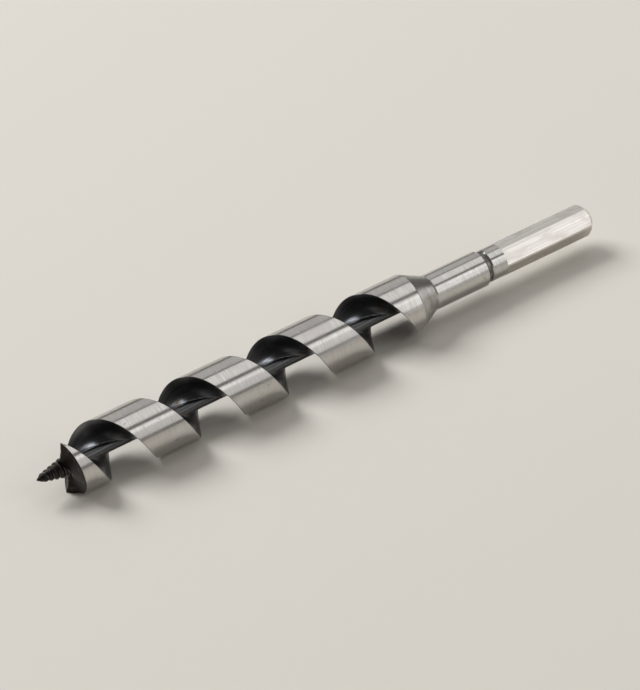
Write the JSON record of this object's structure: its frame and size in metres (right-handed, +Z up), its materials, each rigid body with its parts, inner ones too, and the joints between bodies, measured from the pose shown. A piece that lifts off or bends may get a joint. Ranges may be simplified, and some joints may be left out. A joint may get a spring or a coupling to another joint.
{
  "type": "auger bit",
  "caption": "Single-twist wood auger bit with a threaded lead screw, one cutting lip with a side spur, a round neck and a hexagonal shank.",
  "frame": {"origin": "middle of the overall box at its lowest level, straight below the axis of the bit, on the surface the lands rest on", "axes": "+X along the axis from the screw point to the shank end, +Z up, +Y by the right-hand rule; the cutting lip stands straight up"},
  "size_m": [0.2414, 0.0222, 0.0222],
  "materials": {
    "steel": "ground bright on the lands, neck and shank; black in the flute and on the cutting head"
  },
  "bodies": {
    "root": {"auger_bit": "steel"}
  },
  "joints": []
}
